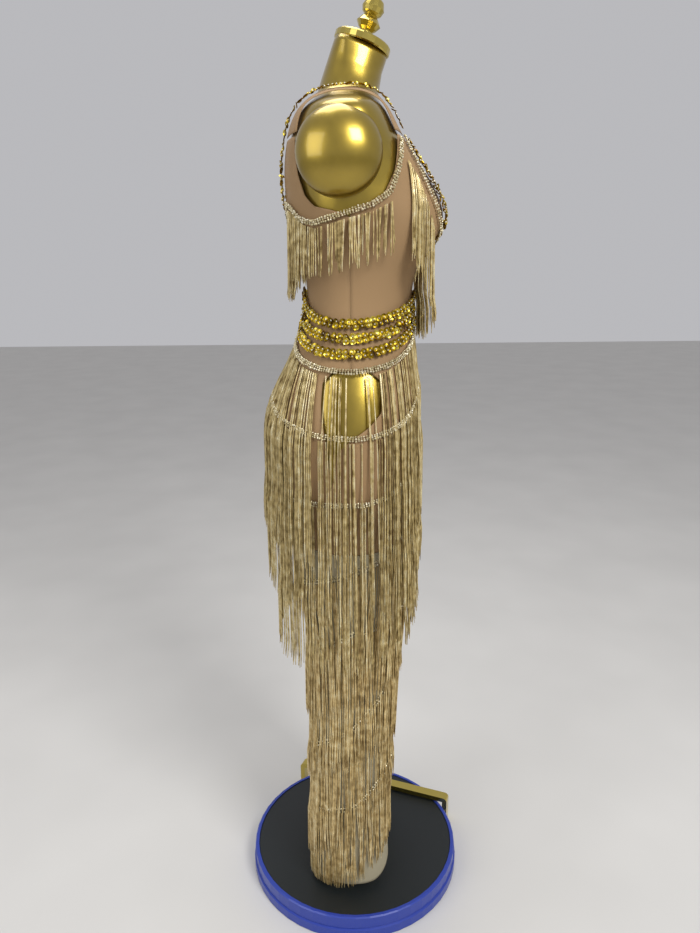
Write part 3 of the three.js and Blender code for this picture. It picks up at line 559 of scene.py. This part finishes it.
def build_form():
    """Smooth skin of the form: rings of the body's surface, then the leaning neck, and one
    ellipsoid for each arm stump."""
    turn = np.linspace(0, 360, 128, endpoint=False)
    z = np.concatenate([np.linspace(730.3, 1380, 96), np.linspace(1386, 1430, 14)])
    trunk = skin(turn[None], z[:, None], np.zeros(1))
    a = np.radians(turn)
    power = 2 / SQUARENESS
    sx = np.sign(np.sin(a)) * np.abs(np.sin(a)) ** power
    cy = np.sign(np.cos(a)) * np.abs(np.cos(a)) ** power
    rings = []
    stops = np.array([(1430, 47, 49, 56, 0.0)] + NECK, float)
    for level in np.linspace(1434, 1494.6, 10):
        front, back, half, lean = [np.interp(level, stops[:, 0], stops[:, k]) for k in (1, 2, 3, 4)]
        x = -half * sx
        y = -np.where(cy > 0, front, back) * cy
        rings.append(np.stack([x, y, level + lean * (y + (front - back) / 2)], -1))
    rings = np.stack(rings)
    foot = mix(trunk[:1], trunk[:1].mean(1, keepdims=True), 0.97)
    top = mix(rings[-1:], rings[-1:].mean(1, keepdims=True), 0.97)
    grid = np.concatenate([foot, trunk, rings, top])
    points = [grid.reshape(-1, 3)]
    quads = [grid_quads(len(grid), 128, True)[:, ::-1]]
    v = np.linspace(0.02, np.pi - 0.02, 40)[:, None]
    h = np.linspace(0, 2 * np.pi, 64, endpoint=False)[None]
    sphere = np.stack([np.sin(v) * np.cos(h), np.sin(v) * np.sin(h), np.cos(v) + 0 * h], -1)
    for side in (-1, 1):
        centre = np.array(STUMP_CENTRE) * np.array([side, 1, 1])
        quads.append(grid_quads(40, 64, True)[:, ::-1] + sum(len(p) for p in points))
        points.append((sphere * np.array(STUMP_RADII) * 0.998 + centre).reshape(-1, 3))
    obj = make_object("form_skin", np.concatenate(points), np.concatenate(quads))
    dress(obj, "gold_form", "gold_form", "form_torso")


def finish_stand():
    """Gives the CAD's own hard parts their materials through their material slots."""
    looks = {"neck_cap": "gold_metal", "finial": "gold_metal", "pole": "gold_metal",
             "floor_bar": "gold_metal", "bar_stay": "gold_metal", "base_disc": "base_black",
             "base_rim": "base_blue"}
    for node, mat in looks.items():
        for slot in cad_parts[node].material_slots:
            slot.material = material(mat)


# ------------------------------------------------------------------ the cloth

def panel(left, right, foot, top, rows, cols):
    """Cloth panel between two edges given as bearings by height."""
    t = np.linspace(0, 1, rows)[:, None]
    s = np.linspace(0, 1, cols)[None]
    level = mix(foot(90.0), top(90.0), t) + 0 * s
    deg = mix(left(level), right(level), s)
    for _ in range(3):
        level = mix(foot(deg), top(deg), t)
        deg = mix(left(level), right(level), s)
    level = mix(foot(deg), top(deg), t)
    return skin(deg, level, np.array([EASE])), skin(deg, level, np.array([EASE + CLOTH]))


def build_cloth():
    """The cut pieces of mesh cloth, each a closed wall the thickness of the cloth."""
    seam = PANEL_SEAM
    made = {}

    def waist(deg):
        return row_height(HIP_ROWS[0], deg)

    def flat_top(deg):
        return STRAP_FOOT + 0 * np.asarray(deg, float)

    front = panel(lambda z: line(NECKLINE_FRONT, 1, z) + seam, lambda z: line(ARMHOLE_FRONT, 1, z) - seam,
                  lambda d: waist(d) + 2 * SEAM_GAP, flat_top, 70, 30)
    back = panel(lambda z: line(ARMHOLE_BACK, 1, z) + seam, lambda z: line(NECKLINE_BACK, 1, z) - seam,
                 lambda d: waist(d) + 2 * SEAM_GAP, flat_top, 70, 30)
    turn = np.linspace(3, 177, 60)[:, None]
    away = np.abs(np.cos(np.radians(turn)))
    near = mix(76, np.where(turn < 90, 66, 58), away)
    x = mix(near, mix(108, 116, away), np.linspace(0, 1, 8)[None])
    strap = (shoulder(x, turn + 0 * x, np.array([EASE])), shoulder(x, turn + 0 * x, np.array([EASE + CLOTH])))
    u = np.concatenate([np.linspace(0, 0.96, 90), np.linspace(1.02, 1.82, 36)])[None]
    around = np.where(u > 1, 2 - u, u)
    hem = mix(HEM_FRONT, HEM_NEAR, ease(around / HEM_TURN))
    z = mix(hem, LEG_TOP, np.linspace(0, 1, 120)[:, None])
    leg = (leg_skin(u + 0 * z, z, np.array([0.0])), leg_skin(u + 0 * z, z, np.array([CLOTH])))
    for name, (inner, outer), ring in (("bodice_front", front, False), ("bodice_back", back, False),
                                       ("shoulder_strap", strap, False), ("leg", leg, True)):
        points, quads = shell(inner, outer, ring)
        for side, mirror in (("right", False), ("left", True)):
            obj = make_object(f"{name}_{side}_cloth", points, quads, mirror)
            look = "hem_cloth" if name == "leg" else "mesh_cloth"
            made[f"{name}_{side}"] = dress(obj, look, "mesh_cloth", f"{name}_{side}")

    def top(deg):
        return waist(deg) - SEAM_GAP

    def foot(deg):
        return LEG_TOP + LEG_SEAM + 0 * np.asarray(deg, float)

    hips = {
        "hip_front": panel(lambda z: -line(OPENING_FRONT, 1, z) + seam,
                           lambda z: line(OPENING_FRONT, 1, z) - seam, foot, top, 60, 70),
        "hip_back": panel(lambda z: line(OPENING_BACK, 1, z) + seam,
                          lambda z: 360 - line(OPENING_BACK, 1, z) - seam, foot, top, 60, 60)}
    for name, (inner, outer) in hips.items():
        points, quads = shell(inner, outer)
        obj = make_object(f"{name}_cloth", points, quads)
        made[name] = dress(obj, "mesh_cloth", "mesh_cloth", name)
    # The gusset: a flat piece under the form with a round hole that the pole passes through.
    a = np.linspace(0, 2 * np.pi, 48, endpoint=False)
    hole = np.stack([POLE_HOLE * np.sin(a), POLE_HOLE * np.cos(a)], -1)
    reach_x = GUSSET_HALF / np.maximum(np.abs(np.sin(a)), 1e-6)
    reach_y = np.where(np.cos(a) > 0, GUSSET_BACK, GUSSET_FRONT) / np.maximum(np.abs(np.cos(a)), 1e-6)
    out = np.minimum(reach_x, reach_y)
    rim = np.stack([out * np.sin(a), out * np.cos(a)], -1)
    flat = np.stack([hole, rim])
    low = np.concatenate([flat, np.full((2, 48, 1), GUSSET_AT)], -1)
    high = low + np.array([0, 0, CLOTH])
    points, quads = shell(low, high, True)
    obj = make_object("crotch_gusset_cloth", points, quads)
    made["crotch_gusset"] = dress(obj, "mesh_cloth", "mesh_cloth", "crotch_gusset")
    return made


# ------------------------------------------------------------------ trims

def even(points, normals, gap):
    """Points and normals at even steps of a gap along a line of points."""
    steps = np.linalg.norm(np.diff(points, axis=0), axis=1)
    length = np.concatenate([[0], np.cumsum(steps)])
    at = np.arange(gap / 2, length[-1], gap)
    p = np.stack([np.interp(at, length, points[:, k]) for k in range(3)], -1)
    n = unit(np.stack([np.interp(at, length, normals[:, k]) for k in range(3)], -1))
    side = unit(np.stack([np.interp(at, length, np.gradient(points[:, k])) for k in range(3)], -1))
    return p, n, np.cross(n, side)


def row_line(row, count=400):
    """Line round the body along a row, with normals."""
    deg = np.linspace(0, 360, count)
    z = row_height(row, deg)
    p = skin(deg, z, np.array([TRIM_AT]))
    base = skin(deg, z, np.array([0.0]))
    return p, unit(p - base)


def leg_line(row, count=120):
    """Line over the leg's outer side along a row, with normals."""
    u = np.linspace(*LEG_ROW_SPAN, count)
    z = leg_row_height(row, u)
    p = leg_skin(u, z, np.array([LEG_TRIM_AT]))
    return p, unit(p - leg_skin(u, z, np.array([0.0])))


def form_line(deg, z):
    """Line over the form by bearings and heights, with normals."""
    p = skin(deg, z, np.array([TRIM_AT]))
    return p, unit(p - skin(deg, z, np.array([0.0])))


def shifted(points, normals, by):
    """The line moved sideways over the form and laid on its surface again."""
    side = unit(np.cross(normals, np.gradient(points, axis=0)))
    moved = points + side * by
    deg = np.degrees(np.arctan2(-moved[:, 0], -moved[:, 1]))
    return form_line(deg, moved[:, 2])


def beads_on(lines, rows, gap, radius, rng):
    """Rows of beads along lines, of slightly different sizes and places."""
    parts = []
    for points, normals in lines:
        p, n, side = even(points, normals, gap)
        for at in rows:
            centre = p + side * at + n * radius * 0.7 + rng.normal(0, 0.35, p.shape)
            parts.append((centre, n))
    centres = np.concatenate([c for c, _ in parts])
    normals = np.concatenate([n for _, n in parts])
    sizes = radius * rng.uniform(0.75, 1.2, len(centres))
    return strew(ball(), centres, normals, sizes, rng)


def sequins_on(lines, rows, gap, radius, rng):
    """Rows of cup sequins along lines, tilted a little, each with a bead in its middle."""
    centres, normals = [], []
    for points, way in lines:
        p, n, side = even(points, way, gap)
        for k, at in enumerate(rows):
            centres.append(p + side * at + n * (1.2 + 0.8 * (k % 2)))
            normals.append(n)
    centres = np.concatenate(centres)
    normals = np.concatenate(normals)
    size = np.full(len(centres), radius)
    cups = strew(cup(), centres, normals, size, rng, 0.28)
    stones = strew(ball(), centres + normals * 1.3, normals, size * 0.28, rng)
    return cups, stones


def join(parts):
    """Several point, face and tint sets as one."""
    shift = np.cumsum([0] + [len(p[0]) for p in parts[:-1]])
    return (np.concatenate([p[0] for p in parts]),
            np.concatenate([p[1] + s for p, s in zip(parts, shift)]),
            np.concatenate([np.asarray(p[2]).ravel() for p in parts]))


def add_small(name, part, mat, slot, node, mirror=False):
    """Object of beads or sequins standing for one CAD node, or going with one."""
    points, quads, tint = part
    obj = make_object(name, points, quads, mirror, tint)
    nodes = (node,) if node else ()
    return dress(obj, mat, slot, *nodes)


def strap_edge_line():
    """Line over the shoulder along the strap's inner edge, then down the back neckline."""
    turn = np.linspace(8, 172, 60)
    away = np.abs(np.cos(np.radians(turn)))
    x = mix(76, np.where(turn < 90, 66, 58), away) + 4
    over = shoulder(x, turn, np.array([TRIM_AT]))
    base = shoulder(x, turn, np.array([0.0]))
    z = np.linspace(1335, 1240, 40)
    p, n = form_line(line(NECKLINE_BACK, 1, z), z)
    down, down_n = shifted(p, n, 4)
    return np.concatenate([over, down]), np.concatenate([unit(over - base), down_n])


def build_trims(gap, bead_gap, seed):
    """Cup sequins round the waist and neck, and beaded headers over every fringe."""
    rng = np.random.default_rng(seed)
    kept = {"body": [], "leg_right": [], "leg_left": [], "right": [], "left": []}
    for i, row in enumerate(WAIST_ROWS):
        cups, stones = sequins_on([row_line(row)], (-3.4, 3.4), gap, CUP_RADIUS["waist"], rng)
        kept["body"] += [
            add_small(f"waist_sequins_{i + 1}_cups", cups, "sequins", "sequins", f"waist_sequins_{i + 1}"),
            add_small(f"waist_sequins_{i + 1}_stones", stones, "stones", "beads", None)]
    for i, row in enumerate(HIP_ROWS):
        part = beads_on([row_line(row)], (-3, 0, 3), bead_gap, BEAD_RADIUS, rng)
        name = f"hip_header_{i + 1}"
        kept["body"].append(add_small(f"{name}_beads", part, "beads", "beads", name))
    z = np.linspace(1194, 1345, 60)
    points, normals = form_line(line(NECKLINE_FRONT, 1, z), z)
    neck = shifted(points, normals, 14)
    under = shifted(points, normals, 35)
    header = form_line(np.linspace(59, 177, 160),
                       np.interp(np.linspace(59, 177, 160), BODICE_HEADER[:, 0], BODICE_HEADER[:, 1]))
    for side, mirror in (("right", False), ("left", True)):
        for i, row in enumerate(LEG_ROWS):
            name = f"leg_header_{i + 1}_{side}"
            part = beads_on([leg_line(row)], (-2.6, 2.6), bead_gap, BEAD_RADIUS, rng)
            kept[f"leg_{side}"].append(add_small(f"{name}_beads", part, "beads", "beads", name, mirror))
        cups, stones = sequins_on([neck], (-7, 0, 7), gap * 0.9, CUP_RADIUS["neck"], rng)
        rope, rope_stones = sequins_on([strap_edge_line()], (0.0,), ROPE_GAP, CUP_RADIUS["rope"], rng)
        kept[side] += [
            add_small(f"neckline_{side}_cups", cups, "sequins", "sequins",
                      f"neckline_sequins_{side}", mirror),
            add_small(f"neckline_{side}_stones", stones, "stones", "beads", None, mirror),
            add_small(f"rope_{side}_cups", rope, "sequins", "sequins", f"rope_sequins_{side}", mirror),
            add_small(f"rope_{side}_stones", rope_stones, "stones", "beads", None, mirror),
            add_small(f"neckline_header_{side}_beads",
                      beads_on([under], (-2.4, 2.4), bead_gap, NECK_BEAD_RADIUS, rng),
                      "beads", "beads", f"neckline_header_{side}", mirror),
            add_small(f"bodice_header_{side}_beads",
                      beads_on([header], (-2.8, 0, 2.8), bead_gap, BEAD_RADIUS, rng),
                      "beads", "beads", f"bodice_header_{side}", mirror)]
    return kept


# ------------------------------------------------------------------ fringes

TABLE_DEG = np.arange(0, 361, 2.0)
TABLE_Z = np.arange(420, 1360, 6.0)


def radius_table():
    return radius_at(TABLE_DEG[:, None], np.maximum(TABLE_Z[None], LEG_TOP))


def look_up(table, deg, z):
    """Straight-line look-up in the table of radii."""
    d = np.clip(np.mod(deg, 360) / 2, 0, len(TABLE_DEG) - 1.001)
    h = np.clip((z - TABLE_Z[0]) / 6, 0, len(TABLE_Z) - 1.001)
    i, j = d.astype(int), h.astype(int)
    a = mix(table[i, j], table[i + 1, j], d - i)
    b = mix(table[i, j + 1], table[i + 1, j + 1], d - i)
    return mix(a, b, h - j)


def tiers_passed(z, rows):
    """How many lower rows a strand has passed over, eased over 30 mm at each."""
    return sum(ease((row + 15 - z) / 30) for row in rows) if rows else 0 * z


def hang_body(deg, top, foot, lower, table, stops, rng, lift):
    """Paths of strands hung on the body: each drops straight from the widest place passed, with
    a slow sideways drift and clumps whose size grows with the drop."""
    t = np.linspace(0, 1, stops)[None]
    z = mix(top[:, None], foot[:, None], t)
    drift = np.cumsum(rng.normal(0, 0.13, (len(deg), stops)), axis=1) * t
    clump = 0.9 * np.sin(deg * 0.9 + 1.7 * np.sin(deg * 0.31))[:, None] * t
    way = deg[:, None] + drift + clump
    radius = np.maximum.accumulate(look_up(table, way, z), axis=1)
    out = TRIM_AT + lift + tiers_passed(z, [row(way) for row in lower]) * TIER_STEP
    radius = radius + out + rng.uniform(0, 2.2, len(deg))[:, None] * (0.4 + t)
    p = bearing(way) * radius[..., None]
    p[..., 2] = z
    return p


def hang_leg(u, top, foot, lower, stops, rng):
    """Paths of strands hung on the leg, over the lower rows, with the same drift and clumps."""
    t = np.linspace(0, 1, stops)[None]
    z = mix(top[:, None], foot[:, None], t)
    drift = np.cumsum(rng.normal(0, 0.0026, (len(u), stops)), axis=1) * t
    clump = 0.012 * np.sin(u * 120 + 2 * np.sin(u * 37))[:, None] * t
    way = np.clip(u[:, None] + drift + clump, 0.012, 0.988)
    out = LEG_TRIM_AT + tiers_passed(z, [leg_row_height(row, way) for row in lower]) * TIER_STEP
    return leg_skin(way, z, out + rng.uniform(0, 2.4, len(u))[:, None] * (0.4 + t))


def add_fringe(name, paths, radius, rng, node, mirror=False, mat="fringe"):
    """Object of three-sided strands standing for one CAD fringe."""
    width = radius * rng.uniform(0.75, 1.2, len(paths))
    points, quads = tubes(paths, width)
    tint = np.repeat(rng.random(len(paths)), paths.shape[1] * 3)
    obj = make_object(name, points, quads, mirror, tint)
    return dress(obj, mat, "fringe", node)


def leg_row_round(row):
    """Height of a leg's row by bearing round the body."""
    return lambda deg: leg_row_height(row, np.where(np.mod(deg, 360) > 180, 360 - np.mod(deg, 360),
                                                    np.mod(deg, 360)) / 180)


def hip_row(row):
    """Height of a hip's row by bearing."""
    return lambda deg: row_height(row, deg)


def build_fringes(gap, radius, stops, seed):
    """Every row of fringe, strand by strand."""
    rng = np.random.default_rng(seed + 1)
    table = radius_table()
    kept = {"body": [], "leg_right": [], "leg_left": [], "right": [], "left": []}
    under = [[hip_row(HIP_ROWS[1]), hip_row(HIP_ROWS[2]), leg_row_round(LEG_ROWS[0])],
             [hip_row(HIP_ROWS[2]), leg_row_round(LEG_ROWS[0])],
             [leg_row_round(LEG_ROWS[0]), leg_row_round(LEG_ROWS[1])]]
    for i, row in enumerate(HIP_ROWS):
        count = int(ROUND_BODY / gap)
        deg = np.sort(rng.uniform(0, 360, count))
        if i < 2:
            side = np.abs(np.minimum(deg, 360 - deg) - SIDE_GAP["middle"])
            deg = deg[rng.random(count) < np.where(side < SIDE_GAP["half"], SIDE_GAP["kept"], 1.0)]
        top = row_height(row, deg) - UNDER_HEADER + STRAND_LAP
        foot = top - HIP_FRINGE[i] + rng.uniform(-8, 42, len(deg)) * rng.random(len(deg))
        paths = hang_body(deg, top, foot, under[i], table, stops, rng, 0.0)
        name = f"hip_fringe_{i + 1}"
        kept["body"].append(add_fringe(f"{name}_strands", paths, radius, rng, name))
    waist = [hip_row(WAIST_ROWS[0])]
    for side, mirror in (("right", False), ("left", True)):
        for name, rows, length in (("bust_fringe", BUST_FRINGE, 190), ("side_fringe", SIDE_FRINGE, 300)):
            deg = np.sort(rng.uniform(rows[0, 0], rows[-1, 0], int(length / gap)))
            top = np.interp(deg, rows[:, 0], rows[:, 1]) + STRAND_LAP
            foot = np.interp(deg, rows[:, 0], rows[:, 2]) + rng.uniform(-3, 16, len(deg))
            paths = hang_body(deg, top, foot, waist, table, stops, rng, 1.5)
            node = f"{name}_{side}"
            kept[side].append(add_fringe(f"{node}_strands", paths, radius, rng, node, mirror))
        for i, row in enumerate(LEG_ROWS):
            u = np.sort(rng.uniform(*LEG_ROW_SPAN, int(ROUND_LEG / gap)))
            top = leg_row_height(row, u) - UNDER_HEADER + STRAND_LAP
            foot = np.maximum(top - row[3] + rng.uniform(-6, 40, len(u)) * rng.random(len(u)), BASE_TOP + 8)
            paths = hang_leg(u, top, foot, LEG_ROWS[i + 1:i + 3], stops, rng)
            name = f"leg_fringe_{i + 1}_{side}"
            kept[f"leg_{side}"].append(
                add_fringe(f"{name}_strands", paths, radius, rng, name, mirror, "fringe_warm"))
    return kept


# ------------------------------------------------------------------ the stage

def area_light(name, place, size, watts, aim):
    """Soft square light aimed at a point."""
    data = bpy.data.lights.new(name, "AREA")
    data.shape = "SQUARE"
    data.size = size
    data.energy = watts
    obj = bpy.data.objects.new(name, data)
    obj.location = place
    way = np.array(aim, float) - np.array(place, float)
    level = math.hypot(way[0], way[1])
    obj.rotation_euler = (math.atan2(level, -way[2]), 0, math.atan2(way[1], way[0]) - math.pi / 2)
    bpy.context.scene.collection.objects.link(obj)


def build_stage():
    """Plain pale floor, soft studio light, and the camera to the wearer's right."""
    scene = bpy.context.scene
    size = 12000
    corners = np.array([[-size, -size, 0], [size, -size, 0], [size, size, 0], [-size, size, 0]], float)
    corners[:, 2] = -0.5
    floor = make_object("studio_floor", corners, np.array([[0, 1, 2, 3]]))
    floor.data.materials.append(plain("floor_paper", (214, 212, 208), 0.8, bump_scale=3))
    world = bpy.data.worlds.new("studio")
    world.use_nodes = True
    back = world.node_tree.nodes["Background"]
    back.inputs["Color"].default_value = (0.74, 0.74, 0.77, 1)
    back.inputs["Strength"].default_value = 0.66
    scene.world = world
    area_light("key_light", (-1.9, -1.3, 2.6), 1.0, 58, (0, 0, 0.9))
    area_light("fill_light", (-1.6, 1.9, 1.9), 1.8, 22, (0, 0, 0.8))
    area_light("top_light", (0.4, 0.2, 3.0), 1.2, 20, (0, 0, 1.0))
    data = bpy.data.cameras.new("view_camera")
    data.lens = 27.05
    data.sensor_width = 36
    camera = bpy.data.objects.new("view_camera", data)
    camera.location = (-1.21, 0, 1.15)
    camera.rotation_euler = (math.radians(75.1), math.radians(0.5), math.radians(-90))
    scene.collection.objects.link(camera)
    scene.camera = camera
    scene.view_settings.view_transform = "Standard"


# ------------------------------------------------------------------ operators and panel


class JUMPSUIT_OT_form(bpy.types.Operator):
    """Builds the form's smooth skin and finishes the stand"""

    bl_idname = "jumpsuit.form"
    bl_label = "Form and stand"

    def execute(self, context):
        """Runs the form's builder."""
        build_form()
        finish_stand()
        return {"FINISHED"}


class JUMPSUIT_OT_trims(bpy.types.Operator):
    """Builds the sequins and the beaded headers"""

    bl_idname = "jumpsuit.trims"
    bl_label = "Sequins and beads"

    def execute(self, context):
        """Runs the trims' builder with the panel's sizes."""
        s = context.scene.jumpsuit
        build_trims(s.sequin_gap / MM, s.bead_gap / MM, s.seed)
        return {"FINISHED"}


class JUMPSUIT_OT_fringes(bpy.types.Operator):
    """Builds the fringes strand by strand"""

    bl_idname = "jumpsuit.fringes"
    bl_label = "Fringes"

    def execute(self, context):
        """Runs the fringes' builder with the panel's sizes."""
        s = context.scene.jumpsuit
        build_fringes(s.strand_gap / MM, s.strand_radius / MM, s.strand_stops, s.seed)
        return {"FINISHED"}


class JUMPSUIT_OT_cloth(bpy.types.Operator):
    """Builds the cut pieces of mesh cloth"""

    bl_idname = "jumpsuit.cloth"
    bl_label = "Cloth"

    def execute(self, context):
        """Runs the cloth's builder."""
        made = build_cloth()
        return {"FINISHED"}


class JUMPSUIT_OT_stage(bpy.types.Operator):
    """Builds the floor, the lights and the camera"""

    bl_idname = "jumpsuit.stage"
    bl_label = "Stage"

    def execute(self, context):
        """Runs the stage's builder."""
        build_stage()
        return {"FINISHED"}


class JUMPSUIT_PT_panel(bpy.types.Panel):
    """Settings and buttons in the 3D view's sidebar"""

    bl_label = "Jumpsuit"
    bl_space_type = "VIEW_3D"
    bl_region_type = "UI"
    bl_category = "Jumpsuit"

    def draw(self, context):
        """Draws the settings and one button for each operator."""
        s = context.scene.jumpsuit
        for name in ("strand_gap", "strand_radius", "strand_stops", "bead_gap", "sequin_gap", "seed"):
            self.layout.prop(s, name)
        for step in ("form", "trims", "fringes", "cloth", "stage"):
            self.layout.operator(f"jumpsuit.{step}")


CLASSES = (JumpsuitSettings, JUMPSUIT_OT_form, JUMPSUIT_OT_trims, JUMPSUIT_OT_fringes,
           JUMPSUIT_OT_cloth, JUMPSUIT_OT_stage, JUMPSUIT_PT_panel)


def register():
    """Registers the classes and the settings."""
    for cls in CLASSES:
        bpy.utils.register_class(cls)
    bpy.types.Scene.jumpsuit = bpy.props.PointerProperty(type=JumpsuitSettings)


def unregister():
    """Takes the settings and the classes away again."""
    del bpy.types.Scene.jumpsuit
    for cls in reversed(CLASSES):
        bpy.utils.unregister_class(cls)


def main():
    """Builds everything in order."""
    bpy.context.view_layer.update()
    register()
    bpy.ops.jumpsuit.form()
    bpy.ops.jumpsuit.trims()
    bpy.ops.jumpsuit.fringes()
    bpy.ops.jumpsuit.cloth()
    bpy.ops.jumpsuit.stage()


if __name__ == "__main__":
    main()
